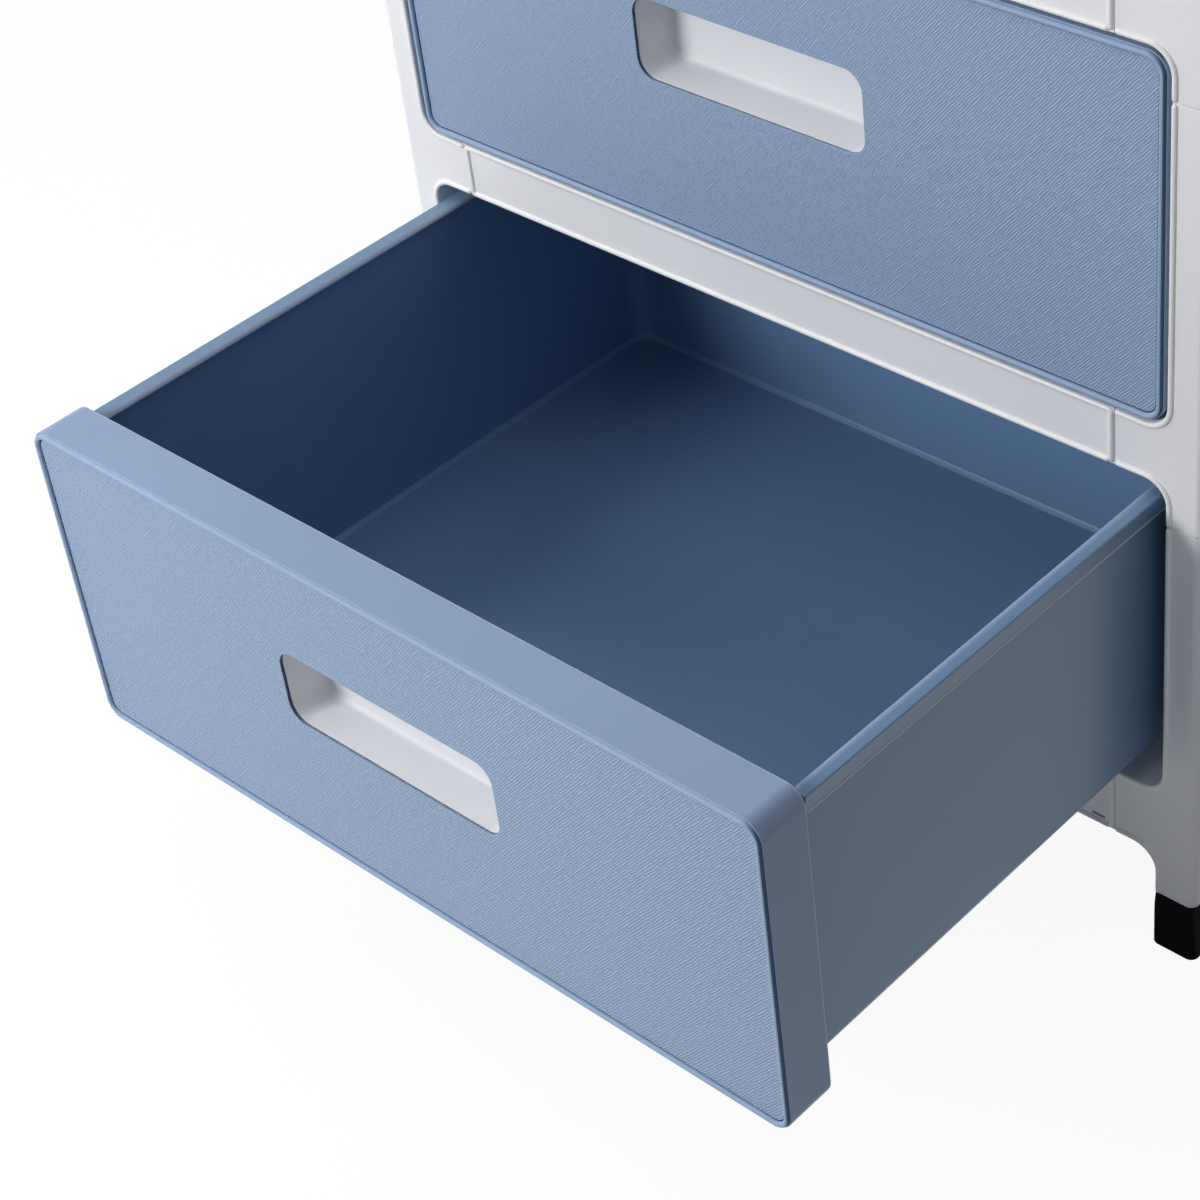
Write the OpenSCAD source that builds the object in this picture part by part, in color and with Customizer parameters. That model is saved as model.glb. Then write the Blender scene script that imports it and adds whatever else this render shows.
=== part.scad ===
// Plastic drawer tower: stacking side frames joined by front rails, shelves and back panels,
// with one pull-out drawer in each tier. Millimetres. +Z is up and the drawers pull out along -Y.

/* [Cabinet] */
// Overall width of the cabinet
cabinet_w = 450; // [380:1:560]
// Overall depth of the cabinet, without the drawer fronts
cabinet_d = 370; // [320:1:460]
// Number of drawers
tiers = 4; // [2:1:6]
// Height from one drawer to the next
tier_pitch = 190; // [165:1:240]
// Wall of the frame's mouldings
wall = 2.6; // [2:0.1:3.4]
// Thickness of the frame's front faces
face_t = 3; // [2.4:0.1:4]
// Width of the posts beside each opening
post_w = 17; // [15:0.5:24]
// Depth of the posts and of the front rails
post_d = 34; // [32:1:46]
// Height of the front rail between two openings
rail_h = 27; // [20:0.5:36]
// Height of the fascia above the top opening
fascia_h = 26; // [20:0.5:40]
// Radius of the openings' corners
opening_r = 10.5; // [8:0.5:18]
// How far each side frame's stub reaches in from the edge of the opening
stub_l = 25; // [22:0.5:40]
// How far below the top of each opening the side frames meet
seam_drop = 20; // [19:0.5:30]
// Width of the raised bead along every opening
bead_w = 2.6; // [1.5:0.1:4]
// Height of that bead
bead_h = 1.2; // [0.4:0.1:1.6]
// Radius of the cabinet's upright edges
edge_r = 4; // [2:0.5:4.5]
// Radius of the cover's top edges
cover_r = 5; // [3:0.5:8]
// Thickness of the cover's top
cover_t = 3; // [2.4:0.1:5]
// Depth of the tray in the cover's top
tray_d = 1.2; // [0.5:0.1:1.6]
// Width of the rim around that tray
tray_rim = 14; // [8:1:30]

/* [Base] */
// Height of the black feet
foot_h = 30; // [15:1:50]
// How far the feet flare on each side at the floor
foot_flare = 1.5; // [0:0.1:3]
// Height of the legs between the feet and the bottom rail
leg_h = 25; // [12:1:60]
// Radius of the arch beside each leg
arch_r = 12; // [8:1:22]
// Height of the bottom rail
base_rail_h = 36; // [26:1:50]
// Width of the legs
leg_w = 20; // [18:0.5:26]
// Length of the plug that holds a foot in its leg
foot_plug_h = 14; // [6:1:22]

/* [Boards] */
// Thickness of the shelves
shelf_t = 2.4; // [2:0.1:4]
// Height of the ribs under the shelves
shelf_rib_h = 9; // [4:0.5:12]
// Thickness of the back panels
panel_t = 2.4; // [2:0.1:4]
// Height of the ribs on the back panels
panel_rib_h = 2; // [0.5:0.1:2.4]
// Thickness of the runners, guides and shelf rests
ledge_t = 2.4; // [2:0.1:3.4]

/* [Drawer fronts] */
// Wall of the drawer front
front_wall = 2.6; // [2:0.1:3.2]
// How far a closed drawer front stands out of the cabinet
front_proud = 1.5; // [0:0.5:6]
// Radius of the drawer front's corners
front_r = 9; // [6:0.5:13]
// Width of the rim round the drawer front
rim_w = 2.8; // [2:0.1:6]
// Groove between the rim and the grained face
groove_w = 0.8; // [0.6:0.1:2]
// How far the grained face lies behind the rim
face_recess = 1.4; // [0.4:0.1:2]
// Thickness of the grained face
inlay_t = 1.6; // [1.2:0.1:3]
// Width of the finger recess
recess_w = 124; // [90:1:160]
// Height of the finger recess
recess_h = 38; // [28:0.5:50]
// Depth of the finger recess behind the grained face
recess_d = 20; // [12:0.5:28]
// Corner radius of the finger recess
recess_r = 9; // [4:0.5:14]
// Height of the recess's middle above the front's lower edge
recess_z = 90; // [60:1:110]
// Wall of the finger cup
cup_wall = 1.6; // [1.2:0.1:2.4]
// Width of the flange that holds the finger cup
cup_flange = 4; // [2:0.5:8]

/* [Drawer tubs] */
// Wall of the tub
tub_wall = 2.6; // [2:0.1:3.4]
// Height of the tub's underside above the front's lower edge
tub_rise = 16; // [10:0.5:24]
// How far the tub's rim lies below the front's upper edge
tub_drop = 7; // [5:0.5:14]
// Height of the lip round the tub
lip_h = 10; // [6:0.5:16]
// How far the lip stands out of the tub's wall
lip_out = 2.5; // [1:0.1:4]
// How far the rim reaches in over the tub
rim_in = 2.9; // [0:0.1:5]
// Radius of the tub's upright corners
tub_r = 10; // [5:0.5:24]
// How far the tub reaches into the drawer front's box
tub_lap = 1.5; // [0.5:0.1:3]

/* [Motion] */
// Drawer that stands open, counted from the bottom
open_tier = 1; // [1:1:6]
// Length of tub that is still in the cabinet when a drawer is at its stop
hold_in = 87; // [60:1:140]
// How far short of its stop the open drawer stands
open_short = 30; // [0:1:100]

/* [Clearances] */
// Gap beside and above a drawer front
front_gap = 2; // [1:0.1:3]
// Gap below a drawer front
front_gap_low = 1; // [0.5:0.1:6]
// Gap beside the tub's lip, from the drawer front's side
tub_inset = 3; // [2.8:0.1:5]
// Gap behind a closed tub
back_gap = 8; // [4:0.5:20]
// Gap between the finger cup and the tub behind it
cup_gap = 0.9; // [0.4:0.1:3]
// Gap between the tub's lip and the drawer front
lip_gap = 1.8; // [0.5:0.1:3]
// Gap between the tub's rim and the guides above it
guide_gap = 1.5; // [0.5:0.1:3]
// Clearance between pieces that slide or plug together
fit = 0.3; // [0.2:0.05:0.5]

/* [Hidden] */
$fn = 48;
// Overlap of pieces that are joined, overshoot of cuts and least radius of a corner
EPS = 0.01;
CUT = 1;
LEAST_R = 0.5;

function numbered(stem) = [for (k = [1:tiers]) str(stem, k)];
SIDES = [["right", 1], ["left", -1]];
FEET = [["front", 0], ["rear", 1]];

// Cabinet levels and widths
half_w = cabinet_w / 2;
opening_half = half_w - post_w;
seam_x = opening_half - stub_l;
leg_x = half_w - leg_w;
base_z = foot_h + leg_h;
first_opening_z = base_z + base_rail_h;
opening_h = tier_pitch - rail_h;
front_w = 2 * (opening_half - front_gap);
front_h = opening_h - front_gap - front_gap_low;
top_z = first_opening_z + (tiers - 1) * tier_pitch + opening_h + fascia_h;
function opening_low(k) = first_opening_z + (k - 1) * tier_pitch;
function opening_top(k) = opening_low(k) + opening_h;
function front_z(k) = opening_low(k) + front_gap_low;
// The side frames meet a little below the upper corners of each opening
function seam_z(k) = k < 1 ? foot_h : opening_top(k) - seam_drop;

// Rear of the cabinet
panel_y1 = cabinet_d - wall - fit;
panel_y0 = panel_y1 - panel_t;
rear_post_y0 = cabinet_d - post_d;
rear_post_y1 = panel_y0 - fit;
inner_half = half_w - wall;
cover_under_z = top_z - cover_t - tray_d;

// Drawer, measured from the front of its rim
plate_y0 = face_recess + inlay_t;
plate_y1 = plate_y0 + front_wall;
cup_y1 = face_recess + recess_d;
tub_y0 = cup_y1 + cup_wall + cup_gap;
front_d = tub_y0 + tub_lap;
tub_y1 = panel_y0 - back_gap + front_proud;
tub_half = front_w / 2 - tub_inset;
tub_z1 = front_h - tub_drop;
boss_r = 5;
boss_edge = 34;

// Motion. The front of the open drawer and the cabinet's rear feet are equally far from the origin
travel = tub_y1 - front_proud - hold_in;
open_d = travel - open_short;
face_y = (open_d + front_proud - cabinet_d - foot_flare) / 2;

// Shelf rests, and how far the runners reach under the tub and the guides over it
rest_reach = 8.5;
runner_lap = 13;
guide_lap = 6;
runner_y0 = front_d - front_proud + front_gap;

// Stops: a tooth on each side frame catches a lug on the tub
stop_l = 6;
stop_h = 4;
stop_drop = 0.5;
stop_gap = 1.5;
lug_l = 8;
lug_gap = 1.2;
lug_y = runner_y0 + stop_l + travel + fit;

// Pegs that hold the side frames on each other
peg_r = 3;
peg_h = 8;
peg_x = (opening_half + wall + inner_half) / 2;
peg_y = [(face_t + post_d) / 2, (rear_post_y0 + rear_post_y1) / 2];

FRAME = "#d9dade";
BLUE = "#93a9cb";
TUB_BLUE = "#4f688c";
CUP_WHITE = "#e6e7ea";
FOOT_BLACK = "#141518";

// ---------- Helpers ----------

// Rectangle with round corners, from its lower left corner
module round_rect(x0, y0, x1, y1, r) {
    translate([x0 + r, y0]) square([x1 - x0 - 2 * r, y1 - y0]);
    translate([x0, y0 + r]) square([x1 - x0, y1 - y0 - 2 * r]);
    for (x = [x0 + r, x1 - r], y = [y0 + r, y1 - r]) translate([x, y]) circle(r);
}

// A front view (x, z), made solid from depth y0 to y1
module front_solid(y0, y1) translate([0, y1, 0]) rotate([90, 0, 0]) linear_extrude(y1 - y0) children();

// A side view (y, z), made solid from x0 to x1
module side_solid(x0, x1)
    translate([x0, 0, 0]) rotate([90, 0, 90]) linear_extrude(x1 - x0) children();

// A plan (x, y), made solid from z0 to z1
module plan_solid(z0, z1) translate([0, 0, z0]) linear_extrude(z1 - z0) children();

module box(x0, y0, z0, x1, y1, z1) translate([x0, y0, z0]) cube([x1 - x0, y1 - y0, z1 - z0]);

module in_cabinet() translate([0, face_y, 0]) children();

module in_drawer(k)
    translate([0, face_y - front_proud - (k == open_tier ? open_d : 0), front_z(k)]) children();

module on_side(s) mirror([s < 0 ? 1 : 0, 0, 0]) children();

// Outline of opening k in the front view, grown by g on every side
module opening_2d(k, g = 0)
    round_rect(-opening_half - g, opening_low(k) - g, opening_half + g, opening_top(k) + g, opening_r + g);

// Outline of the space between the legs, grown by g
module arch_2d(g = 0)
    round_rect(-leg_x - g, -base_z, leg_x + g, base_z + g, arch_r + g);

// The openings that side frame k borders: the arch or the opening below, and its own
module voids_2d(k, g = 0) {
    opening_2d(k, g);
    if (k == 1) arch_2d(g); else opening_2d(k - 1, g);
}

module cabinet_plan(g = 0)
    round_rect(-half_w + g, g, half_w - g, cabinet_d - g, max(edge_r - g, LEAST_R));

// ---------- Side frames ----------

module post_decks(z) {
    box(opening_half, 0, z, half_w, post_d, z + wall);
    box(opening_half, rear_post_y0, z, half_w, rear_post_y1, z + wall);
}

module pegs(z, r, h) for (y = peg_y) translate([peg_x, y, z]) cylinder(r = r, h = h);

// Ledge along the inside of a side frame, from half width x0 outwards
module ledge(z_top, x0, y0) box(x0, y0, z_top - ledge_t, half_w - EPS, rear_post_y0 + EPS, z_top);

module guide_above(k) ledge(front_z(k) + tub_z1 + guide_gap + ledge_t, tub_half - guide_lap, runner_y0);

module stop_tooth(z_top)
    box(tub_half + stop_gap, runner_y0, z_top - stop_h, opening_half + EPS, runner_y0 + stop_l, z_top);

module side_face_2d(k) difference() {
    translate([seam_x, seam_z(k - 1)]) square([half_w - seam_x, seam_z(k) - seam_z(k - 1)]);
    voids_2d(k);
}

module side_return_2d(k) intersection() {
    side_face_2d(k);
    voids_2d(k, wall);
}

module side_bead_2d(k) intersection() {
    side_face_2d(k);
    voids_2d(k, bead_w);
}

// Rear post, with the flange that the back panel lies against
module rear_post(z0, z1) {
    box(opening_half, rear_post_y0, z0, opening_half + wall, rear_post_y1, z1);
    box(opening_half, rear_post_y0, z0, half_w - EPS, rear_post_y0 + wall, z1);
    box(opening_half, rear_post_y1 - wall, z0, half_w - EPS, rear_post_y1, z1);
    box(opening_half, cabinet_d - wall, z0, half_w - EPS, cabinet_d, z1);
}

module legs() {
    box(leg_x, post_d - wall, foot_h, half_w - EPS, post_d, base_z + arch_r);
    box(leg_x, rear_post_y0, foot_h, leg_x + wall, cabinet_d, base_z);
    box(leg_x, cabinet_d - wall, foot_h, half_w - EPS, cabinet_d, base_z);
    box(leg_x, rear_post_y0, foot_h, half_w - EPS, rear_post_y0 + wall, base_z);
    box(leg_x, rear_post_y0, base_z, half_w - EPS, cabinet_d, base_z + wall);
}

module side_frame(k) {
    z0 = seam_z(k - 1);
    z1 = seam_z(k);
    color(FRAME) in_cabinet() {
        difference() {
            intersection() {
                plan_solid(z0, z1) cabinet_plan();
                union() {
                    box(inner_half, 0, z0, half_w, cabinet_d, z1);
                    front_solid(0, face_t) side_face_2d(k);
                    front_solid(0, post_d) side_return_2d(k);
                    rear_post(k == 1 ? base_z : z0, z1);
                    post_decks(z1 - wall);
                    if (k == 1) legs(); else post_decks(z0);
                    ledge(front_z(k) + tub_rise - fit, tub_half - runner_lap, runner_y0);
                    ledge(opening_low(k) - shelf_t, opening_half - rest_reach, post_d);
                    if (k > 1) guide_above(k - 1);
                    stop_tooth(z1 - stop_drop);
                }
            }
            if (k > 1) pegs(z0 - CUT, peg_r + fit, wall + 2 * CUT);
            if (k == 1) side_solid(leg_x - CUT, half_w + CUT)
                round_rect(post_d, -base_z, rear_post_y0, base_z, arch_r);
        }
        front_solid(-bead_h, EPS) side_bead_2d(k);
        pegs(z1 - EPS, peg_r, peg_h);
    }
}

// ---------- Rails, shelves, back panels and cover ----------

// Channel of the given front-view box, open at the back
module channel(half, z0, z1, y0, y1, t) difference() {
    box(-half, y0, z0, half, y1, z1);
    box(-half - CUT, y0 + t, z0 + t, half + CUT, y1 + CUT, z1 - t);
}

module frame_2d(half, z0, z1, g) translate([g - half, z0 + g]) square([2 * (half - g), z1 - z0 - 2 * g]);

// The lowest rail has a release slot at each end
module front_rail(k) {
    z0 = k == 1 ? base_z : opening_top(k - 1);
    z1 = opening_low(k);
    half = seam_x - fit / 2;
    tongue_l = stub_l - opening_r;
    tongue_h = wall + fit;
    slot = [7, 1.6];
    slot_edge = 5;
    color(FRAME) in_cabinet() difference() {
        union() {
            channel(half, z0, z1, 0, post_d, wall);
            for (x = [-half, half - wall]) box(x, 0, z0, x + wall, post_d, z1);
            channel(half + tongue_l, z0 + tongue_h, z1 - tongue_h, face_t + fit, post_d - 2 * wall, wall);
            front_solid(-bead_h, EPS) difference() {
                frame_2d(half, z0, z1, 0);
                frame_2d(half, z0, z1, bead_w);
            }
        }
        if (k == 1) for (s = SIDES) on_side(s[1]) front_solid(-CUT, face_t + CUT)
            translate([half - slot_edge - slot[0], z0 + bead_w + slot[1] / 2]) square(slot);
    }
}

// Board that reaches back between the rear posts, up to the back panel
module shelf(k) {
    z1 = opening_low(k);
    y0 = post_d + fit;
    y1 = rear_post_y0 - fit;
    rib_half = opening_half - rest_reach - fit;
    tail_half = opening_half - fit;
    color(FRAME) in_cabinet() {
        box(-inner_half + fit, y0, z1 - shelf_t, inner_half - fit, y1, z1);
        box(-tail_half, y1 - EPS, z1 - shelf_t, tail_half, panel_y0 - fit, z1);
        for (i = [0:3]) {
            y = y0 + i * (y1 - y0 - wall) / 3;
            box(-rib_half, y, z1 - shelf_t - shelf_rib_h, rib_half, y + wall, z1 - shelf_t + EPS);
        }
        for (x = [-rib_half, -wall / 2, rib_half - wall])
            box(x, y0, z1 - shelf_t - shelf_rib_h, x + wall, y1, z1 - shelf_t + EPS);
    }
}

module back_panel(k) {
    z0 = opening_low(k);
    z1 = k < tiers ? opening_low(k + 1) - fit : cover_under_z - cover_r;
    half = inner_half - edge_r / 2;
    rib_half = opening_half - 2 * wall;
    margin = 20;
    rib_z0 = z0 + margin;
    rib_z1 = min(z1, seam_z(tiers)) - margin;
    color(FRAME) in_cabinet() {
        box(-half, panel_y0, z0, half, panel_y1, z1);
        for (z = [rib_z0, (rib_z0 + rib_z1) / 2, rib_z1])
            box(-rib_half, panel_y1 - EPS, z - wall / 2, rib_half, panel_y1 + panel_rib_h, z + wall / 2);
        for (x = [-rib_half, rib_half - wall])
            box(x, panel_y1 - EPS, rib_z0, x + wall, panel_y1 + panel_rib_h, rib_z1);
    }
}

// The cover's outer form, with round upper edges, set in by g
module cover_form(g, z0, z1) intersection() {
    plan_solid(z0, z1) cabinet_plan(g);
    front_solid(0, cabinet_d) round_rect(-half_w + g, z0 - 2 * cover_r, half_w - g, z1, cover_r);
    side_solid(-half_w, half_w) round_rect(g, z0 - 2 * cover_r, cabinet_d - g, z1, cover_r);
}

// Band of width w along the part of the top opening's edge that is in the cover
module arc_band_2d(w) intersection() {
    difference() {
        opening_2d(tiers, w);
        opening_2d(tiers);
    }
    translate([-half_w, seam_z(tiers)]) square([cabinet_w, top_z - seam_z(tiers)]);
}

module top_cover() {
    z0 = seam_z(tiers);
    color(FRAME) in_cabinet() {
        difference() {
            cover_form(0, z0, top_z);
            cover_form(wall, z0 - CUT, cover_under_z);
            plan_solid(top_z - tray_d, top_z + CUT)
                round_rect(-half_w + tray_rim, tray_rim, half_w - tray_rim, cabinet_d - tray_rim, tray_rim);
            front_solid(-CUT, post_d) opening_2d(tiers);
        }
        difference() {
            intersection() {
                plan_solid(z0, cover_under_z + EPS) cabinet_plan();
                union() for (s = SIDES) on_side(s[1]) {
                    rear_post(z0, top_z);
                    post_decks(z0);
                    guide_above(tiers);
                }
            }
            for (s = SIDES) on_side(s[1]) pegs(z0 - CUT, peg_r + fit, wall + 2 * CUT);
            front_solid(-CUT, post_d + CUT) opening_2d(tiers);
        }
        front_solid(0, post_d) arc_band_2d(wall);
        front_solid(-bead_h, EPS) arc_band_2d(bead_w);
    }
}

// ---------- Feet ----------

// Trapezoid that widens by the flare from the leg's size at the top to the floor
module flared_2d(x0, x1) polygon([
    [x0 - foot_flare, 0], [x1 + foot_flare, 0], [x1, foot_h], [x0, foot_h]
]);

module foot(rear, s) {
    y0 = rear ? rear_post_y0 : 0;
    y1 = y0 + post_d;
    x0 = leg_x - foot_flare;
    x1 = half_w + foot_flare;
    plug_x0 = leg_x + wall + fit;
    plug_y0 = y0 + (rear ? wall : face_t) + fit;
    color(FOOT_BLACK) in_cabinet() on_side(s) {
        intersection() {
            plan_solid(0, foot_h) round_rect(x0, y0 - foot_flare, x1, y1 + foot_flare, edge_r);
            front_solid(y0 - foot_flare, y1 + foot_flare) flared_2d(leg_x, half_w);
            side_solid(x0, x1) flared_2d(y0, y1);
        }
        box(plug_x0, plug_y0, foot_h - EPS, inner_half - fit, y1 - wall - fit, foot_h + foot_plug_h);
    }
}

// ---------- Drawers ----------

// Outline of the drawer front, set in by g
module front_2d(g = 0)
    round_rect(-front_w / 2 + g, g, front_w / 2 - g, front_h - g, max(front_r - g, LEAST_R));

// Outline of the finger recess, grown by g
module recess_2d(g = 0) {
    half = [recess_w / 2 + g, recess_h / 2 + g];
    translate([0, recess_z]) round_rect(-half[0], -half[1], half[0], half[1], recess_r + g);
}

module drawer_front(k) color(BLUE) in_drawer(k) {
    difference() {
        front_solid(0, front_d) front_2d();
        front_solid(-CUT, plate_y0) front_2d(rim_w);
        front_solid(plate_y1, front_d + CUT) front_2d(front_wall);
        front_solid(0, plate_y1 + CUT) recess_2d(cup_wall + fit);
    }
    for (s = SIDES, z = [boss_edge, tub_z1 - boss_edge / 2])
        translate([s[1] * (front_w / 2 - boss_edge), plate_y1 - EPS, z])
            rotate([-90, 0, 0]) cylinder(r = boss_r, h = tub_y0 - plate_y1 + EPS);
}

module grained_face(k) color(BLUE) in_drawer(k)
    front_solid(face_recess, plate_y0) difference() {
        front_2d(rim_w + groove_w);
        recess_2d();
    }

module finger_cup(k) color(CUP_WHITE) in_drawer(k) {
    difference() {
        front_solid(plate_y0, cup_y1 + cup_wall) recess_2d(cup_wall);
        front_solid(plate_y0 - CUT, cup_y1) recess_2d();
    }
    front_solid(plate_y1, plate_y1 + cup_wall) difference() {
        recess_2d(cup_wall + cup_flange);
        recess_2d(cup_wall - EPS);
    }
}

// Plan of the tub's lip, set in by g, from y0 back: round at the rear corners, square at the front
module tub_plan(g, y0) intersection() {
    round_rect(-tub_half + g, 0, tub_half - g, tub_y1 - g, max(tub_r - g, LEAST_R));
    translate([-front_w, y0]) square([2 * front_w, tub_y1]);
}

// Plan of the tub's inside, set in by g from the lip
module hollow_plan(g)
    round_rect(-tub_half + g, tub_y0 + tub_wall, tub_half - g, tub_y1 - g, tub_r);

module drawer_tub(k) color(TUB_BLUE) in_drawer(k) {
    inner = lip_out + tub_wall;
    lug_z = seam_z(k) - front_z(k) - stop_drop;
    lug_y0 = lug_y + front_proud;
    difference() {
        union() {
            plan_solid(tub_rise, tub_z1) tub_plan(lip_out, tub_y0);
            plan_solid(tub_z1 - lip_h, tub_z1) tub_plan(0, front_d + lip_gap);
        }
        plan_solid(tub_rise + tub_wall, tub_z1 - tub_wall) hollow_plan(inner);
        plan_solid(tub_z1 - tub_wall - EPS, tub_z1 + CUT) hollow_plan(inner + rim_in);
    }
    for (s = SIDES) on_side(s[1])
        box(tub_half - lip_out, lug_y0, lug_z - stop_h, opening_half - lug_gap, lug_y0 + lug_l, lug_z);
}

// ---------- Nodes ----------

for (k = [1:tiers]) {
    side_frame(k);
    on_side(-1) side_frame(k);
    front_rail(k);
    shelf(k);
    back_panel(k);
    drawer_tub(k);
    drawer_front(k);
    grained_face(k);
    finger_cup(k);
}
top_cover();
for (f = FEET, s = SIDES)
    foot(f[1] == 1, s[1]);
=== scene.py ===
"""Looks of a plastic drawer tower: frame mouldings with raised beads, drawer tubs, drawer fronts with a
grained face, and finger cups. It runs inside Blender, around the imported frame. Lengths are in metres."""

import math

import bmesh
import bpy
from mathutils import Matrix, Vector


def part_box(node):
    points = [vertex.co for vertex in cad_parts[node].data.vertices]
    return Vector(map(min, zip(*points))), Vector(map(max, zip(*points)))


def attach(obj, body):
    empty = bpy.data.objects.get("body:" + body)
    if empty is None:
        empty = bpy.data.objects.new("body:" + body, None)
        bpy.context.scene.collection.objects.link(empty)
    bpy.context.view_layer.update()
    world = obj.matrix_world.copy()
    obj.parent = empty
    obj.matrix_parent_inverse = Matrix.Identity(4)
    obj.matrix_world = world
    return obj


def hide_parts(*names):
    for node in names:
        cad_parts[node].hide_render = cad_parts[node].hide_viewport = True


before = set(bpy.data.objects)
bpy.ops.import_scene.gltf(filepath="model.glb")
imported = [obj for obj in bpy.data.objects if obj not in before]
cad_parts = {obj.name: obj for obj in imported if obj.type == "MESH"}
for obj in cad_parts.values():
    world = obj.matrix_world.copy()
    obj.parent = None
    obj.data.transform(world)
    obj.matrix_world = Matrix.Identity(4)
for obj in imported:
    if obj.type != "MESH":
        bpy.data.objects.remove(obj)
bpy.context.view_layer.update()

MM = 0.001
CABINET = "cabinet"

# ---------- Sizes of the frame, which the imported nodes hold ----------

TIERS = range(1, 1 + sum(name.startswith("drawer_front_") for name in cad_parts))
BEAD_H = 1.2 * MM
FACE_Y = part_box("front_rail_1")[0].y + BEAD_H
FRONT_GAP = 2 * MM
OPENING_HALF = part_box("drawer_front_1")[1].x + FRONT_GAP
SEAM_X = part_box("side_right_1")[0].x


def opening_low(tier):
    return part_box(f"front_rail_{tier}")[1].z


def opening_top(tier):
    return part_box(f"drawer_front_{tier}")[1].z + FRONT_GAP


def seam_z(tier):
    above = f"side_right_{tier + 1}" if tier < len(TIERS) else "top_cover"
    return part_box(above)[0].z


# ---------- Node trees written as expressions ----------


class Graph:
    """A node tree under construction."""

    def __init__(self, tree):
        self.tree = tree

    def node(self, kind, settings=None, inputs=None, out=0):
        """Adds a node: its settings first, then the values or links of its sockets. Returns one output."""
        made = self.tree.nodes.new(kind)
        for key, value in (settings or {}).items():
            setattr(made, key, value)
        for key, value in (inputs or {}).items():
            if isinstance(value, Wire):
                self.tree.links.new(value.socket, made.inputs[key])
            else:
                made.inputs[key].default_value = value
        return Wire(self, made.outputs[out]) if made.outputs else made

    def mix(self, factor, a, b):
        """Colour a where the factor is 0 and b where it is 1."""
        wires = {0: factor, 6: a, 7: b}
        return self.node("ShaderNodeMix", {"data_type": "RGBA"}, wires, out=2)

    def stretch(self, vector, scale):
        return self.node("ShaderNodeMapping", {}, {"Vector": vector, "Scale": scale})

    def noise(self, vector, scale, detail=2.0, roughness=0.5):
        wires = {"Vector": vector, "Scale": scale, "Detail": detail, "Roughness": roughness}
        return self.node("ShaderNodeTexNoise", {}, wires)

    def bump(self, height, strength, distance):
        wires = {"Height": height, "Strength": strength, "Distance": distance}
        return self.node("ShaderNodeBump", {}, wires)

    def between(self, value, low, high):
        """0 below low, 1 above high and a smooth rise between them."""
        settings = {"interpolation_type": "SMOOTHSTEP"}
        wires = {"Value": value, "From Min": low, "From Max": high}
        return self.node("ShaderNodeMapRange", settings, wires)


class Wire:
    """An output socket; sums and products of it add Math nodes."""

    def __init__(self, graph, socket):
        self.graph, self.socket = graph, socket

    def math(self, operation, a, b):
        return self.graph.node("ShaderNodeMath", {"operation": operation}, {0: a, 1: b})

    def __add__(self, other):
        return self.math("ADD", self, other)

    def __sub__(self, other):
        return self.math("SUBTRACT", self, other)

    def __rsub__(self, other):
        return self.math("SUBTRACT", other, self)

    def __mul__(self, other):
        return self.math("MULTIPLY", self, other)

    def __truediv__(self, other):
        return self.math("DIVIDE", self, other)

    __radd__ = __add__
    __rmul__ = __mul__


# ---------- Materials ----------

FLOW_SCALE = 9.0
FLOW_DETAIL = 3.0
FLOW_DARK = 0.965
GRIT_SCALE = 2600.0
GRIT_ROUGHNESS = 0.08
GRIT_RELIEF = 0.05 * MM

GRAIN_PITCH = 1.1 * MM
GRAIN_LENGTH = 3.6 * MM
GRAIN_SPREAD = 1.5 * MM
GRAIN_TURN = math.radians(49)
GRAIN_BEND = 7.5
BEND_LENGTH = 6.0 * MM
BEND_WIDTH = 2.8 * MM
GRAIN_GAPS = (0.34, 0.58)
GRAIN_FAINT = 0.35
GRAIN_RELIEF = 0.21 * MM
# The grain's valleys get painted shade and its crests a painted highlight, besides the bump.
VALLEY_SHADE = 0.81
VALLEY_ROUGHNESS = 0.08
CREST_HIGHLIGHT = 1.09
CREST_SHINE = 0.1
FINE_SCALE = 1900.0
FINE_SHARE = 0.2

# Tones paint light and shade into a colour: a painted highlight on edges and painted shade in grooves.
EDGE_HIGHLIGHT = 0.34
GROOVE_SHADE = (0.12, 0.19, 0.30)


def moulded(name, roughness, shine=0.25):
    """A material with its graph, its Principled shader and Object coordinates."""
    material = bpy.data.materials.new(name)
    material.use_nodes = True
    graph = Graph(material.node_tree)
    shader = material.node_tree.nodes["Principled BSDF"]
    shader.inputs["Roughness"].default_value = roughness
    shader.inputs["Specular IOR Level"].default_value = shine
    place = graph.node("ShaderNodeTexCoord", out=3)
    return material, graph, shader, place


def plug(graph, shader, name, wire):
    graph.tree.links.new(wire.socket, shader.inputs[name])


def satin(name, colour, roughness, texture=0.06, shine=0.25, toned=False):
    """Moulded plastic with a fine spark-eroded texture and faint flow shading. Where a mesh has tones, its
    edges (tone 1) get a painted highlight and its grooves (tone -1) painted shade, the dark of deep corners."""
    material, graph, shader, place = moulded(name, roughness, shine)
    flow = graph.between(graph.noise(place, FLOW_SCALE, FLOW_DETAIL), 0.3, 0.7)
    shade = tuple(c * FLOW_DARK for c in colour)
    paint = graph.mix(flow, (*shade, 1), (*colour, 1))
    if toned:
        paint = with_tones(graph, paint, colour)
    plug(graph, shader, "Base Color", paint)
    grit = graph.noise(place, GRIT_SCALE)
    plug(graph, shader, "Roughness", roughness - GRIT_ROUGHNESS / 2 + GRIT_ROUGHNESS * grit)
    plug(graph, shader, "Normal", graph.bump(grit, texture, GRIT_RELIEF))
    return material


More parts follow.
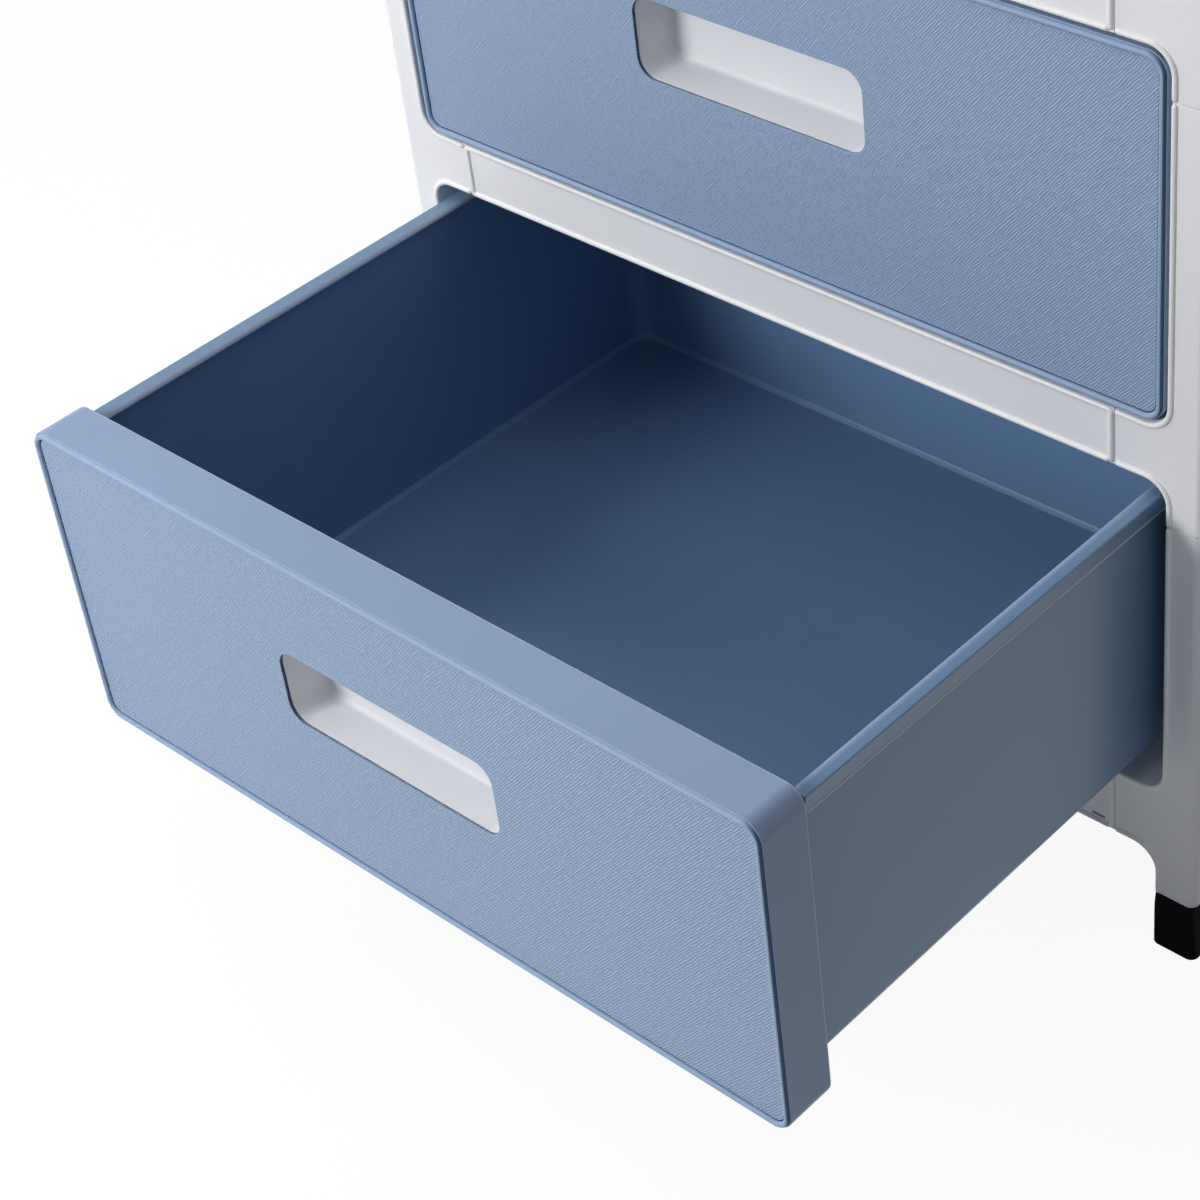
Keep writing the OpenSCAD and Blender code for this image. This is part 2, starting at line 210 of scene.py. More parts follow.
def with_tones(graph, paint, colour):
    """Paint that follows the mesh's tones: a painted highlight at 1 and painted shade at -1."""
    tone = graph.node("ShaderNodeAttribute", {"attribute_name": "tone"}, {}, out=2)
    edge = tuple(c + EDGE_HIGHLIGHT * (1 - c) for c in colour)
    deep = tuple(c * dark for c, dark in zip(colour, GROOVE_SHADE))
    lit = graph.mix(graph.between(tone, 0.0, 1.0), paint, (*edge, 1))
    return graph.mix(graph.between(0 - tone, 0.0, 1.0), lit, (*deep, 1))


def grained(name, colour, roughness):
    """Leather grain: fine wavy ridges that run up to the right and fade out in places."""
    material, graph, shader, place = moulded(name, roughness)
    turned = graph.node("ShaderNodeMapping", {}, {"Vector": place, "Rotation": (0, GRAIN_TURN, 0)})
    across = graph.node("ShaderNodeSeparateXYZ", {}, {"Vector": turned}, out=2)
    bend = graph.noise(graph.stretch(turned, (1 / BEND_LENGTH, 0, 1 / BEND_WIDTH)), 1.0)
    wave = across * (math.tau / GRAIN_PITCH) + bend * GRAIN_BEND
    ridges = 0.5 + 0.5 * graph.node("ShaderNodeMath", {"operation": "SINE"}, {0: wave})
    breaks = graph.noise(graph.stretch(turned, (1 / GRAIN_LENGTH, 0, 1 / GRAIN_SPREAD)), 1.0, 1.0)
    kept = graph.between(breaks, *GRAIN_GAPS)
    relief = ridges * (GRAIN_FAINT + (1 - GRAIN_FAINT) * kept)
    # Painted shade in the valleys of the grain and a painted highlight on its crests.
    valley_shade = tuple(c * VALLEY_SHADE for c in colour)
    crest_highlight = tuple(c * CREST_HIGHLIGHT for c in colour)
    paint = graph.mix(relief, (*valley_shade, 1), (*crest_highlight, 1))
    plug(graph, shader, "Base Color", with_tones(graph, paint, colour))
    plug(graph, shader, "Roughness", roughness + VALLEY_ROUGHNESS - CREST_SHINE * relief)
    fine = graph.noise(place, FINE_SCALE)
    plug(graph, shader, "Normal", graph.bump(relief + FINE_SHARE * fine, 1.0, GRAIN_RELIEF))
    return material


BLUE = (0.317, 0.426, 0.610)
FRONT_BLUE = satin("front_blue", BLUE, 0.42, shine=0.12, toned=True)
GRAINED_BLUE = grained("grained_blue", BLUE, 0.44)
# The tubs' blue is darker than the fronts', partly for a darker plastic and partly as painted shade for the
# deep shade inside the tubs.
TUB_BLUE = satin("tub_blue", (0.147, 0.260, 0.429), 0.30, texture=0.03, shine=0.36, toned=True)
CUP_WHITE = satin("cup_white", (0.765, 0.775, 0.810), 0.36, texture=0.04)
FRAME_WHITE = satin("frame_white", (0.852, 0.855, 0.880), 0.40, texture=0.05)
# The beads' white is a little lighter than the frame's, a painted highlight on the same moulding.
BEAD_WHITE = satin("bead_white", (0.880, 0.880, 0.890), 0.32, texture=0.03)
FOOT_BLACK = satin("foot_black", (0.002, 0.002, 0.0025), 0.7, texture=0.1, shine=0.02)

# ---------- Meshes ----------

ARC_STEPS = 10
ROUND_STEPS = 4


def round_rect(x0, y0, x1, y1, radius, low_radius=None):
    """Points of a rectangle with round corners, anticlockwise from the right end of its lower side."""
    low = low_radius or radius
    corners = (((x1 - low, y0 + low), low, -90), ((x1 - radius, y1 - radius), radius, 0),
               ((x0 + radius, y1 - radius), radius, 90), ((x0 + low, y0 + low), low, 180))
    points = []
    for centre, corner, start in corners:
        points += arc(centre, corner, start, start + 90, ARC_STEPS)
    return points


def plain(tone):
    """One tone all round a rectangle with round corners."""
    return [tone] * 4 * (ARC_STEPS + 1)


def sideways(ends, sides):
    """Tones round such a rectangle, from one at its upper and lower ends to another at its sides."""
    shares = [abs(x) for x, z in round_rect(-1, -1, 1, 1, 1)]
    return [ends + (sides - ends) * share for share in shares]


def arc(centre, radius, start, end, steps=ROUND_STEPS):
    """Points on an arc from angle start to angle end, in degrees."""
    angles = [math.radians(start + (end - start) * i / steps) for i in range(steps + 1)]
    return [(centre[0] + radius * math.cos(a), centre[1] + radius * math.sin(a)) for a in angles]


def loft(bm, rings, closed=False, tones=None):
    """Skins rings of points, each with as many points as the first. Open ends are capped. Each ring can
    have tones, one for each point, from -1 for painted shade in a groove to 1 for a painted highlight on an
    edge."""
    layer = bm.verts.layers.float.new("tone")
    rows = [[bm.verts.new(point) for point in ring] for ring in rings]
    for row, row_tones in zip(rows, tones or []):
        for vertex, tone in zip(row, row_tones):
            vertex[layer] = tone
    pairs = list(zip(rows, rows[1:]))
    if closed:
        pairs.append((rows[-1], rows[0]))
    else:
        bm.faces.new(rows[0])
        bm.faces.new(rows[-1])
    for low, high in pairs:
        for i, corner in enumerate(low):
            j = (i + 1) % len(low)
            bm.faces.new((corner, low[j], high[j], high[i]))


def add_piece(name, bm, material, body, replaced):
    """Makes the mesh a piece with smooth faces that rides on a body."""
    bmesh.ops.recalc_face_normals(bm, faces=bm.faces)
    mesh = bpy.data.meshes.new(name)
    bm.to_mesh(mesh)
    bm.free()
    piece = bpy.data.objects.new(name, mesh)
    bpy.context.scene.collection.objects.link(piece)
    finish_piece(piece, material, body, replaced)


def finish_piece(piece, material, body, replaced=()):
    """Gives a piece its material, smooth faces and body, and hides the nodes that it stands for."""
    piece.data.materials.clear()
    piece.data.materials.append(material)
    piece.data.polygons.foreach_set("use_smooth", [True] * len(piece.data.polygons))
    weighted = piece.modifiers.new("weighted_normals", "WEIGHTED_NORMAL")
    weighted.weight = 100
    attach(piece, body)
    if replaced:
        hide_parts(*replaced)


# ---------- Drawer fronts ----------

FRONT_R = 9 * MM
RIM_W = 3.1 * MM
RIM_BEAD_R = 1.3 * MM
COVE_R = 0.1 * MM
LEDGE_DEPTH = 1.6 * MM
LEDGE_R = 0.3 * MM
PLATE_DEPTH = 3 * MM
PLATE_BACK = 5.6 * MM
FRONT_WALL = 2.6 * MM
GROOVE_W = 0.5 * MM
FACE_DEPTH = 1.4 * MM
FACE_EDGE_R = 0.3 * MM
CUP_WALL = 1.6 * MM
CUP_FLANGE = 4 * MM
CUP_FIT = 0.3 * MM
CUP_DRAFT = 1.5 * MM
CUP_FILLET = 2.8 * MM
CUP_LIP = 0.2 * MM
RECESS_R = 9 * MM
SKIRT_EDGE_R = 0.8 * MM
SKIRT_EDGE_HOLD = 1.3
GROOVE_SHOULDER = 0.4 * MM
LEAST_R = 0.6 * MM
# Painted shade in the cove, on the bead's outer flank and in the groove of each front, given as (upper and
# lower ends, sides); the sides are darker, standing in for the bead's shadow.
COVE_TONES = (-0.3, -1)
BEAD_TONES = (0, -0.8)
GROOVE_TONES = (-0.75, -1)


def front_ring(tier, inset, depth):
    """Outline of a drawer front, set in, at a depth behind its rim."""
    low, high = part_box(f"drawer_front_{tier}")
    radius = max(FRONT_R - inset, LEAST_R)
    outline = round_rect(low.x + inset, low.z + inset, high.x - inset, high.z - inset, radius)
    return [(x, low.y + depth, z) for x, z in outline]


def recess_ring(tier, grow, depth):
    """Outline of the finger recess, grown, at a depth behind the front's rim."""
    low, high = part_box(f"finger_cup_{tier}")
    inset = CUP_WALL + CUP_FLANGE - grow
    outline = round_rect(low.x + inset, low.z + inset, high.x - inset, high.z - inset, RECESS_R + grow)
    front_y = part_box(f"drawer_front_{tier}")[0].y
    return [(x, front_y + depth, z) for x, z in outline]


def drawer_front(tier):
    """Skirt, ledge, cove, beaded rim and plate, as one moulding."""
    low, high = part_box(f"drawer_front_{tier}")
    back = high.y - low.y
    cove_w = RIM_W - 2 * RIM_BEAD_R
    rear_edge = arc((SKIRT_EDGE_R, back - SKIRT_EDGE_R), SKIRT_EDGE_R, 90, 180)
    side = [(0, back - SKIRT_EDGE_HOLD * SKIRT_EDGE_R)]
    side += arc((LEDGE_R, LEDGE_DEPTH + LEDGE_R), LEDGE_R, 180, 270)
    cove = arc((cove_w - COVE_R, LEDGE_DEPTH - COVE_R), COVE_R, 90, 0)
    bead = arc((cove_w + RIM_BEAD_R, RIM_BEAD_R), RIM_BEAD_R, 180, 360, 2 * ROUND_STEPS)
    groove = [(RIM_W, FACE_DEPTH + GROOVE_SHOULDER), (RIM_W, PLATE_DEPTH),
              (RIM_W + GROOVE_W + FACE_EDGE_R, PLATE_DEPTH)]
    # Painted highlight on the skirt's rear edge (tone 1); painted shade in the cove, on the bead's outer
    # flank and in the groove, darker at the sides than at the upper and lower ends.
    sections = (([(FRONT_WALL, PLATE_BACK), (FRONT_WALL, back)], plain(0)), (rear_edge, plain(1)),
                (side, plain(0)), (cove, sideways(*COVE_TONES)), (bead[:3], sideways(*BEAD_TONES)),
                (bead[3:], plain(0)), (groove, sideways(*GROOVE_TONES)))
    rings = [front_ring(tier, inset, depth) for section, tone in sections for inset, depth in section]
    tones = [ring_tones for section, ring_tones in sections for point in section]
    hole = CUP_WALL + CUP_FIT
    rings += [recess_ring(tier, hole, PLATE_DEPTH), recess_ring(tier, hole, PLATE_BACK)]
    bm = bmesh.new()
    loft(bm, rings, closed=True, tones=tones)
    name = f"front_shell_{tier}"
    add_piece(name, bm, FRONT_BLUE, f"drawer_{tier}", [f"drawer_front_{tier}"])


def grained_face(tier):
    """Grained panel inside the rim, round the opening of the finger recess."""
    outer = RIM_W + GROOVE_W
    profile = [(outer, PLATE_DEPTH)]
    profile += arc((outer + FACE_EDGE_R, FACE_DEPTH + FACE_EDGE_R), FACE_EDGE_R, 180, 270)
    rings = [front_ring(tier, inset, depth) for inset, depth in profile]
    lip = arc((FACE_EDGE_R, FACE_DEPTH + FACE_EDGE_R), FACE_EDGE_R, 270, 180)
    rings += [recess_ring(tier, grow, depth) for grow, depth in lip]
    # Painted shade on the wall of the cut round the recess, dark at its sides and none at its upper and lower
    # ends.
    tones = [plain(0)] * (len(rings) - 1) + [sideways(0, -1)] * 2
    rings.append(recess_ring(tier, 0, PLATE_DEPTH))
    bm = bmesh.new()
    loft(bm, rings, closed=True, tones=tones)
    name = f"grained_panel_{tier}"
    add_piece(name, bm, GRAINED_BLUE, f"drawer_{tier}", [f"grained_face_{tier}"])


def finger_cup(tier):
    """White cup behind the opening of the grained face, with a flange at its back."""
    front_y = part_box(f"drawer_front_{tier}")[0].y
    cup_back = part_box(f"finger_cup_{tier}")[1].y - front_y
    floor = cup_back - CUP_WALL
    curve_x = -CUP_DRAFT - CUP_FILLET
    inside = arc((curve_x, floor - CUP_FILLET), CUP_FILLET, 90, 0, 6)
    mouth = [(-CUP_LIP, PLATE_DEPTH + CUP_LIP), (CUP_LIP, PLATE_DEPTH), (CUP_WALL, PLATE_DEPTH)]
    flange_out = CUP_WALL + CUP_FLANGE
    flange = [(CUP_WALL, PLATE_BACK), (flange_out, PLATE_BACK), (flange_out, PLATE_BACK + CUP_WALL),
              (CUP_WALL, PLATE_BACK + CUP_WALL)]
    outside = arc((curve_x, cup_back - CUP_FILLET - CUP_WALL), CUP_FILLET + CUP_WALL, 0, 90)
    rings = [recess_ring(tier, grow, depth) for grow, depth in inside + mouth + flange + outside]
    bm = bmesh.new()
    loft(bm, rings)
    add_piece(f"cup_{tier}", bm, CUP_WHITE, f"drawer_{tier}", [f"finger_cup_{tier}"])


# ---------- Tubs ----------

TUB_INSET = 3 * MM
LIP_OUT = 2.5 * MM
LIP_H = 10 * MM
LIP_SETBACK = 4.2 * MM
LIP_EDGE_R = 0.7 * MM
LIP_BEAD = 0.25 * MM
LIP_BEAD_HEIGHTS = (0.3 * MM, 0.9 * MM, 1.5 * MM)
LIP_FOOT = 1.3 * MM
TUB_FRONT_R = 1.5 * MM
TUB_FOOT_R = 5 * MM
RIM_SETBACK = 1 * MM
RIM_REACH = 8 * MM
ROLL_W = 4.2 * MM
ROLL_H = 2.2 * MM
TUB_WALL = 2.6 * MM
TUB_R = 10 * MM
WALL_DRAFT = 1.3 * MM
WALL_EASE = 0.4 * MM
FLOOR_CHAMFER = 2.0 * MM
CHAMFER_TOP = 0.2 * MM
CHAMFER_LOW = 0.3 * MM
CHAMFER_RUN = 0.7 * MM
LUG_L = 8 * MM
LUG_H = 4 * MM
LUG_PLACE = 279.7 * MM
LUG_GAP = 0.5 * MM
# Painted highlights of the tub: a light line on the lip's foot, a faint lightening of its rounded top, a rim
# lightening towards its inner edge for its sheen, and a light line at the floor's chamfer.
LIP_FOOT_HIGHLIGHTS = [1, 1, 1, 0, 0]
LIP_EDGE_HIGHLIGHT = 0.15
RIM_HIGHLIGHT = 0.18
RIM_HIGHLIGHT_STEP = 0.13
INSIDE_HIGHLIGHTS = [0, 0, 0, 0.16, 0.16, 0]


def tub_ring(tier, inset, front_inset, height, radius, front_radius):
    """Plan of the tub, set in from its lip and from its front, at a height above its underside."""
    low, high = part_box(f"drawer_tub_{tier}")
    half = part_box(f"drawer_front_{tier}")[1].x - TUB_INSET - inset
    outline = round_rect(-half, low.y + front_inset, half, high.y - inset, radius, front_radius)
    return [(x, y, low.z + height) for x, y in outline]


def drawer_tub(tier):
    """Tub with drafted walls, a lip turned out and down round its rim, and a stepped edge to its floor."""
    low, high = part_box(f"drawer_tub_{tier}")
    top = high.z - low.z
    lip_z = top - LIP_H
    foot_inset = LIP_OUT + WALL_DRAFT
    outer = [(g, g - foot_inset, z) for g, z in
              arc((foot_inset + TUB_FOOT_R, TUB_FOOT_R), TUB_FOOT_R, 270, 180)]
    outer += [(LIP_OUT, 0, lip_z), (LIP_OUT - LIP_BEAD, LIP_SETBACK, lip_z)]
    bead_low, bead_high, bead_end = (lip_z + height for height in LIP_BEAD_HEIGHTS)
    lip = [(LIP_FOOT, lip_z), (LIP_FOOT - LIP_BEAD, bead_low), (LIP_FOOT - LIP_BEAD, bead_high),
           (LIP_FOOT, bead_end)]
    lip += arc((LIP_EDGE_R, top - LIP_EDGE_R), LIP_EDGE_R, 180, 90)
    rim = [(RIM_REACH - ROLL_W + ROLL_W * x, top - ROLL_H + ROLL_H * z) for x, z in arc((0, 0), 1, 90, 0, 6)]
    rim.append((RIM_REACH, top - TUB_WALL))
    rim_front = LIP_SETBACK + RIM_SETBACK
    inner_top = LIP_OUT + TUB_WALL
    foot = inner_top + WALL_DRAFT
    inside = [(inner_top, top - TUB_WALL - WALL_EASE), (foot, TUB_WALL + FLOOR_CHAMFER + WALL_EASE)]
    inside += [(foot + CHAMFER_TOP, TUB_WALL + FLOOR_CHAMFER), (foot + FLOOR_CHAMFER, TUB_WALL + CHAMFER_LOW),
               (foot + FLOOR_CHAMFER + CHAMFER_RUN, TUB_WALL)]
    rings = [tub_ring(tier, *values, TUB_R - LIP_OUT, TUB_R - LIP_OUT) for values in outer]
    rings += [tub_ring(tier, g, LIP_SETBACK, z, TUB_R, LEAST_R) for g, z in lip]
    rings += [tub_ring(tier, g, rim_front, z, TUB_R, TUB_FRONT_R) for g, z in rim]
    rings += [tub_ring(tier, g, rim_front + g - inner_top, z, TUB_R, TUB_FRONT_R) for g, z in inside]
    # Painted highlights: a light line on the bead at the lip's foot, a lighter rounded top of the lip, a rim
    # top that lightens towards its inner edge for its sheen, and a light line at the chamfer round the floor.
    tones = [0] * len(outer) + LIP_FOOT_HIGHLIGHTS + [LIP_EDGE_HIGHLIGHT] * (len(lip) - len(LIP_FOOT_HIGHLIGHTS))
    tones += [RIM_HIGHLIGHT + RIM_HIGHLIGHT_STEP * step for step in range(len(rim) - 1)] + INSIDE_HIGHLIGHTS
    bm = bmesh.new()
    loft(bm, rings, tones=[plain(tone) for tone in tones])
    add_lugs(bm, tier)
    name = f"tub_shell_{tier}"
    add_piece(name, bm, TUB_BLUE, f"drawer_{tier}", [f"drawer_tub_{tier}"])


def add_lugs(bm, tier):
    """Stop lugs on the tub's sides, under its lip."""
    low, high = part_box(f"drawer_tub_{tier}")
    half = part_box(f"drawer_front_{tier}")[1].x - TUB_INSET - LIP_OUT
    lug_y = low.y + LUG_PLACE
    lug_top = seam_z(tier) - LUG_GAP
    for side in (-1, 1):
        middle = Vector((side * (half + high.x) / 2, lug_y + LUG_L / 2, lug_top - LUG_H / 2))
        size = Matrix.Diagonal((high.x - half, LUG_L, LUG_H, 1))
        bmesh.ops.create_cube(bm, size=1, matrix=Matrix.Translation(middle) @ size)


# ---------- Mouldings of the cabinet ----------

MERGE = 0.3 * MM
SLIVER = 0.01 * MM
FLAT_ANGLE = math.radians(1)
EDGE_ANGLE = math.radians(35)
EDGE_W = 0.3 * MM
SIDE_EDGE_W = 0.6 * MM
FOOT_EDGE_W = 0.8 * MM


def softened(node, material, width, flatten_beads=False, clamped=True):
    """A copy of a node with its edges rounded. Its beads can be flattened, for rounder ones to take their
    place. The rounding is clamped where narrow faces would fold over."""
    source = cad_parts[node]
    bm = bmesh.new()
    bm.from_mesh(source.data)
    if flatten_beads:
        for vertex in bm.verts:
            vertex.co.y = max(vertex.co.y, FACE_Y)
    bmesh.ops.remove_doubles(bm, verts=bm.verts, dist=MERGE)
    bmesh.ops.dissolve_degenerate(bm, edges=bm.edges, dist=SLIVER)
    bmesh.ops.dissolve_limit(bm, verts=bm.verts, edges=bm.edges, angle_limit=FLAT_ANGLE)
    mesh = bpy.data.meshes.new(node + "_moulding")
    bm.to_mesh(mesh)
    bm.free()
    piece = bpy.data.objects.new(node + "_moulding", mesh)
    bpy.context.scene.collection.objects.link(piece)
    bevel = piece.modifiers.new("edges", "BEVEL")
    bevel.width = width
    bevel.segments = 2
    bevel.limit_method = "ANGLE"
    bevel.angle_limit = EDGE_ANGLE
    bevel.use_clamp_overlap = clamped
    finish_piece(piece, material, CABINET, [node])


# ---------- Beads ----------

BEAD_R = 1.3 * MM
BEAD_OFFSET = BEAD_R - BEAD_H
BEAD_SIDES = 12
BEAD_STEP = 0.7 * MM
BEAD_GAP = 0.3 * MM
BLUNT_END = 0.97
CORNER_STEPS = 16
OPENING_R = 10.5 * MM
ARCH_R = 12 * MM
FIELD_R = 0.6 * MM
FOOT_FLARE = 1.5 * MM


def bead_tree():
    """Geometry nodes that sweep a round bead along each path and round off its ends."""
    tree = bpy.data.node_groups.new("bead", "GeometryNodeTree")
    tree.interface.new_socket("Paths", in_out="INPUT", socket_type="NodeSocketGeometry")
    for name in ("Radius", "Point Spacing"):
        tree.interface.new_socket(name, in_out="INPUT", socket_type="NodeSocketFloat")
    tree.interface.new_socket("Material", in_out="INPUT", socket_type="NodeSocketMaterial")
    tree.interface.new_socket("Beads", in_out="OUTPUT", socket_type="NodeSocketGeometry")
    graph = Graph(tree)
    source = tree.nodes.new("NodeGroupInput")
    given = {socket.name: Wire(graph, socket) for socket in source.outputs if socket.name}
    paths = graph.node("GeometryNodeMeshToCurve", {}, {"Mesh": given["Paths"]})
    length = {"Curve": paths, "Length": given["Point Spacing"]}
    curve = graph.node("GeometryNodeResampleCurve", {"mode": "LENGTH"}, length)
    along = graph.node("GeometryNodeSplineParameter", out=1)
    whole = graph.node("GeometryNodeSplineLength")
    to_end = graph.node("ShaderNodeMath", {"operation": "MINIMUM"}, {0: along, 1: whole - along})
    nearness = {"Value": 1 - to_end / given["Radius"], "Min": 0.0, "Max": BLUNT_END}
    near = graph.node("ShaderNodeClamp", {}, nearness)
    swell = graph.node("ShaderNodeMath", {"operation": "SQRT"}, {0: 1 - near * near})
    circle = {"Radius": given["Radius"], "Resolution": BEAD_SIDES}
    profile = graph.node("GeometryNodeCurvePrimitiveCircle", {"mode": "RADIUS"}, circle)
    swept = {"Curve": curve, "Profile Curve": profile, "Scale": swell, "Fill Caps": True}
    mesh = graph.node("GeometryNodeCurveToMesh", {}, swept)
    solid = graph.node("GeometryNodeRealizeInstances", {}, {"Geometry": mesh})
    painted = graph.node("GeometryNodeSetMaterial", {}, {"Geometry": solid, "Material": given["Material"]})
    result = tree.nodes.new("NodeGroupOutput")
    tree.links.new(painted.socket, result.inputs["Beads"])
    return tree


def side_paths():
    """Bead paths of one side of the front, as (x, z) points, split where the mouldings meet."""
    edge = OPENING_HALF + BEAD_R
    stub = SEAM_X + BEAD_GAP
    radius = OPENING_R + BEAD_R
    paths = []
    for tier in TIERS:
        low, top, seam = opening_low(tier) - BEAD_R, opening_top(tier) + BEAD_R, seam_z(tier)
        corner = arc((edge - radius, low + radius), radius, 270, 360, CORNER_STEPS)
        paths.append([(stub, low), *corner, (edge, seam - BEAD_GAP)])
        corner = arc((edge - radius, top - radius), radius, 0, 90, CORNER_STEPS)
        paths.append([(edge, seam + BEAD_GAP), *corner, (stub, top)])
    foot_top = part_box("side_right_1")[0].z
    leg_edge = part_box("foot_front_right")[0].x + FOOT_FLARE + BEAD_R
    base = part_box("front_rail_1")[0].z + BEAD_R
    radius = ARCH_R + BEAD_R
    corner = arc((leg_edge - radius, base - radius), radius, 0, 90, CORNER_STEPS)
    paths.append([(leg_edge, foot_top + BEAD_GAP), *corner, (stub, base)])
    return paths


def rail_paths():
    """Closed bead paths round the field of each front rail and one along the fascia, as (x, z) points."""
    paths = []
    for tier in TIERS:
        low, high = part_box(f"front_rail_{tier}")
        half = SEAM_X - BEAD_GAP - BEAD_R
        outline = round_rect(-half, low.z + BEAD_R, half, high.z - BEAD_R, FIELD_R)
        paths.append(outline + outline[:1])
    half = SEAM_X - BEAD_GAP
    top = opening_top(len(TIERS)) + BEAD_R
    paths.append([(-half, top), (half, top)])
    return paths


def beads():
    """All beads of the cabinet's front as one piece."""
    sides = side_paths()
    mirrored = [[(-x, z) for x, z in path] for path in sides]
    bm = bmesh.new()
    for path in sides + mirrored + rail_paths():
        verts = [bm.verts.new((x, FACE_Y + BEAD_OFFSET, z)) for x, z in path]
        for a, b in zip(verts, verts[1:]):
            bm.edges.new((a, b))
    mesh = bpy.data.meshes.new("bead_paths")
    bm.to_mesh(mesh)
    bm.free()
    paths = bpy.data.objects.new("bead_paths", mesh)
    bpy.context.scene.collection.objects.link(paths)
    modifier = paths.modifiers.new("beads", "NODES")
    modifier.node_group = bead_tree()
    values = {"Radius": BEAD_R, "Point Spacing": BEAD_STEP, "Material": BEAD_WHITE}
    for socket in modifier.node_group.interface.items_tree:
        if socket.name in values:
            modifier[socket.identifier] = values[socket.name]
    piece = plain_mesh(paths, "front_beads")
    finish_piece(piece, BEAD_WHITE, CABINET)


def plain_mesh(source, name):
    """Evaluates an object with geometry nodes and returns the result as an object of its own."""
    bpy.context.view_layer.update()
    evaluated = source.evaluated_get(bpy.context.evaluated_depsgraph_get())
    mesh = bpy.data.meshes.new_from_object(evaluated)
    bpy.data.objects.remove(source)
    piece = bpy.data.objects.new(name, mesh)
    bpy.context.scene.collection.objects.link(piece)
    return piece


# ---------- Camera, lights and floor ----------

LIGHT_TARGET = (0, -0.25, 0.3)
WORLD_LIGHT = 0.210
RIGHT_SHARE = 0.65
FLOOR_HALF = 30
FLOOR_GLOW = 1.08
FLOOR_GLOW_SHARE = 0.86


def add_camera():
    data = bpy.data.cameras.new("camera")
    data.sensor_width = 36.0
    data.lens = 86.16
    data.shift_x = -0.15
    data.shift_y = -0.0333
    data.clip_end = 50.0
    azimuth, elevation, roll = (math.radians(angle) for angle in (44.166, 37.973, -5.239))
    place = Vector((0.7214, FACE_Y - 0.7486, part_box("drawer_front_1")[0].z + 0.8413))
    level = Vector((math.cos(azimuth), math.sin(azimuth), 0))
    back = Vector((math.sin(azimuth) * math.cos(elevation), -math.cos(azimuth) * math.cos(elevation),
                   math.sin(elevation)))
    upright = back.cross(level)
    right = math.cos(roll) * level + math.sin(roll) * upright
    up = -math.sin(roll) * level + math.cos(roll) * upright
    camera = bpy.data.objects.new("camera", data)
    camera.matrix_world = Matrix.Translation(place) @ Matrix((right, up, back)).transposed().to_4x4()
    bpy.context.scene.collection.objects.link(camera)
    bpy.context.scene.camera = camera


def add_light(name, place, size, power):
    """A square white lamp that faces the lowest drawers."""
    data = bpy.data.lights.new(name, "AREA")
    data.shape = "SQUARE"
    data.size = size
    data.energy = power
    light = bpy.data.objects.new(name, data)
    light.location = place
    light.rotation_euler = (Vector(LIGHT_TARGET) - Vector(place)).to_track_quat("-Z", "Y").to_euler()
    bpy.context.scene.collection.objects.link(light)


def seen_directly(graph):
    """1 where a ray comes from the camera, a mirror reflection or through glass, otherwise 0."""
    rays = graph.node("ShaderNodeLightPath").socket.node.outputs
    camera, glossy, through = (Wire(graph, rays[name]) for name in
                               ("Is Camera Ray", "Is Glossy Ray", "Is Transmission Ray"))
    return camera + glossy + through


def add_world():
    """Even soft light from all round, with a smaller share of it from the right."""
    world = bpy.data.worlds.new("studio")
    bpy.context.scene.world = world
    world.use_nodes = True
    graph = Graph(world.node_tree)
    background = world.node_tree.nodes["Background"]
    background.inputs["Color"].default_value = (1, 1, 1, 1)
    direction = graph.node("ShaderNodeTexCoord")
    rightness = graph.node("ShaderNodeSeparateXYZ", {}, {"Vector": direction})
    rightness = graph.node("ShaderNodeClamp", {}, {"Value": rightness})
    soft = WORLD_LIGHT * (1 - (1 - RIGHT_SHARE) * rightness)
    plug(graph, background, "Strength", soft + (1 - soft) * seen_directly(graph))


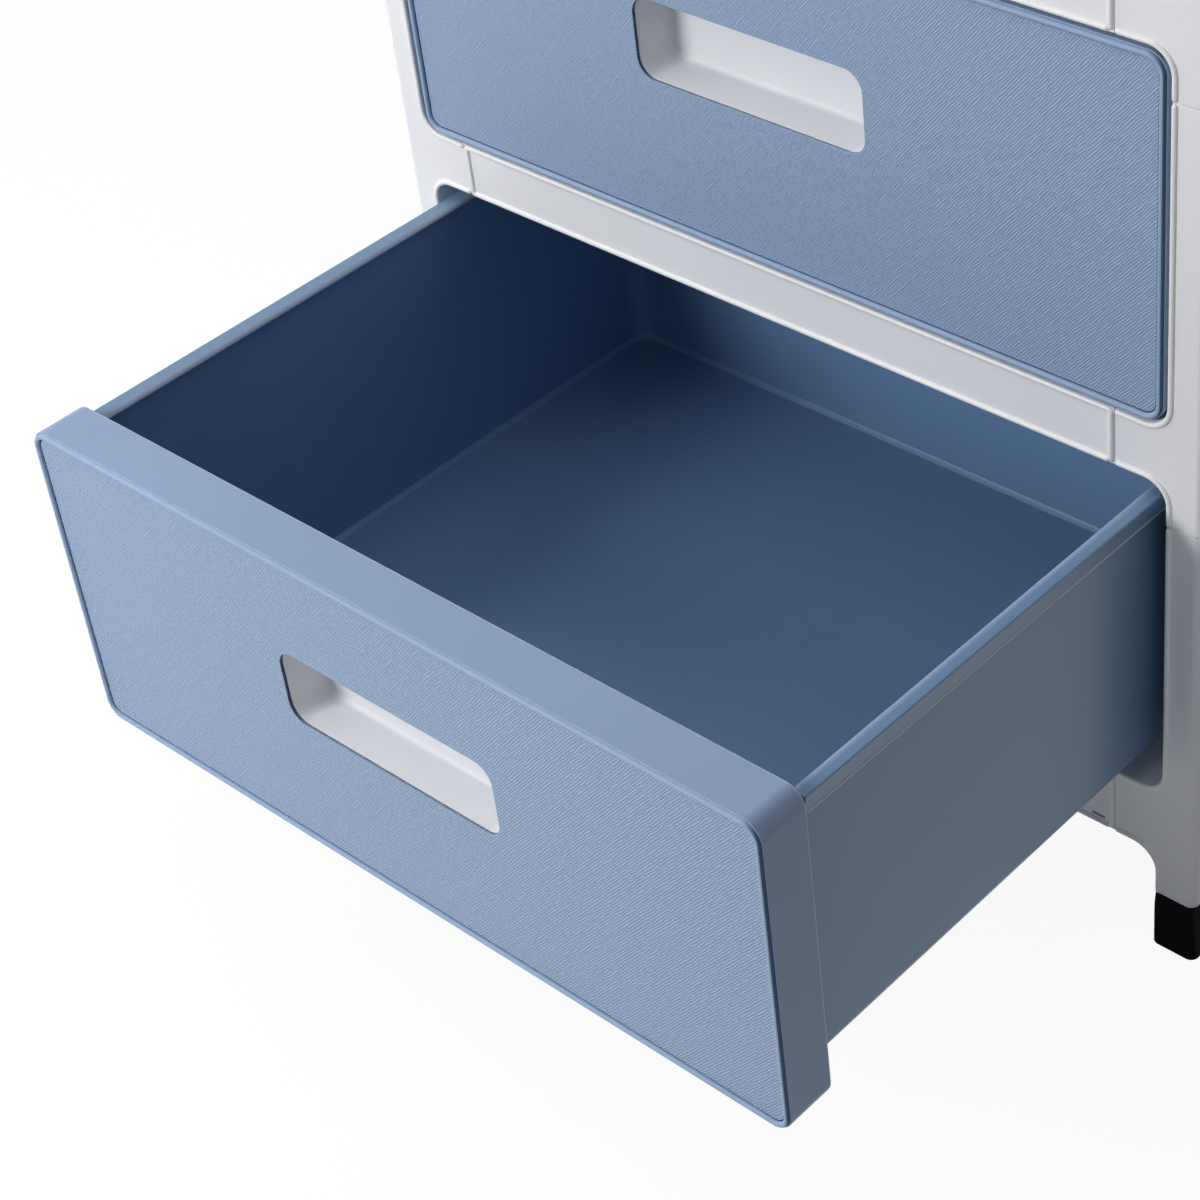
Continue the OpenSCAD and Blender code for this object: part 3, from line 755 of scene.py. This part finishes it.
def add_floor():
    """Pale floor. Where it is seen directly, most of it glows white, and the rest keeps the shadow."""
    bm = bmesh.new()
    bmesh.ops.create_grid(bm, x_segments=1, y_segments=1, size=FLOOR_HALF)
    mesh = bpy.data.meshes.new("floor")
    bm.to_mesh(mesh)
    bm.free()
    floor = bpy.data.objects.new("floor", mesh)
    bpy.context.scene.collection.objects.link(floor)
    material = bpy.data.materials.new("pale_floor")
    material.use_nodes = True
    graph = Graph(material.node_tree)
    lit = material.node_tree.nodes["Principled BSDF"]
    lit.inputs["Base Color"].default_value = (0.55, 0.55, 0.555, 1)
    lit.inputs["Roughness"].default_value = 0.9
    white = graph.node("ShaderNodeEmission", {}, {"Color": (1, 1, 1, 1), "Strength": FLOOR_GLOW})
    seen = graph.node("ShaderNodeMath", {"operation": "MULTIPLY", "use_clamp": True},
                      {0: seen_directly(graph), 1: FLOOR_GLOW_SHARE})
    mixed = graph.node("ShaderNodeMixShader", {}, {0: seen, 1: Wire(graph, lit.outputs[0]), 2: white})
    output = material.node_tree.nodes["Material Output"]
    material.node_tree.links.new(mixed.socket, output.inputs["Surface"])
    mesh.materials.append(material)


# ---------- The tower ----------

add_camera()
add_world()
add_floor()
add_light("key", (-0.7, -1.5, 0.9), 0.6, 18.0)
add_light("side", (-1.2, -0.3, 1.2), 0.8, 6.4)
add_light("top", (0, -0.6, 2.6), 1.8, 8.8)

for tier in TIERS:
    drawer_front(tier)
    grained_face(tier)
    finger_cup(tier)
    drawer_tub(tier)
    for side in ("right", "left"):
        frame_side = f"side_{side}_{tier}"
        softened(frame_side, FRAME_WHITE, SIDE_EDGE_W, flatten_beads=True, clamped=False)
    softened(f"front_rail_{tier}", FRAME_WHITE, EDGE_W, flatten_beads=True)
    softened(f"shelf_{tier}", FRAME_WHITE, EDGE_W)
    softened(f"back_panel_{tier}", FRAME_WHITE, EDGE_W)
softened("top_cover", FRAME_WHITE, EDGE_W, flatten_beads=True)
for end in ("front", "rear"):
    for side in ("right", "left"):
        softened(f"foot_{end}_{side}", FOOT_BLACK, FOOT_EDGE_W)
beads()

bpy.context.scene.view_settings.view_transform = "Standard"
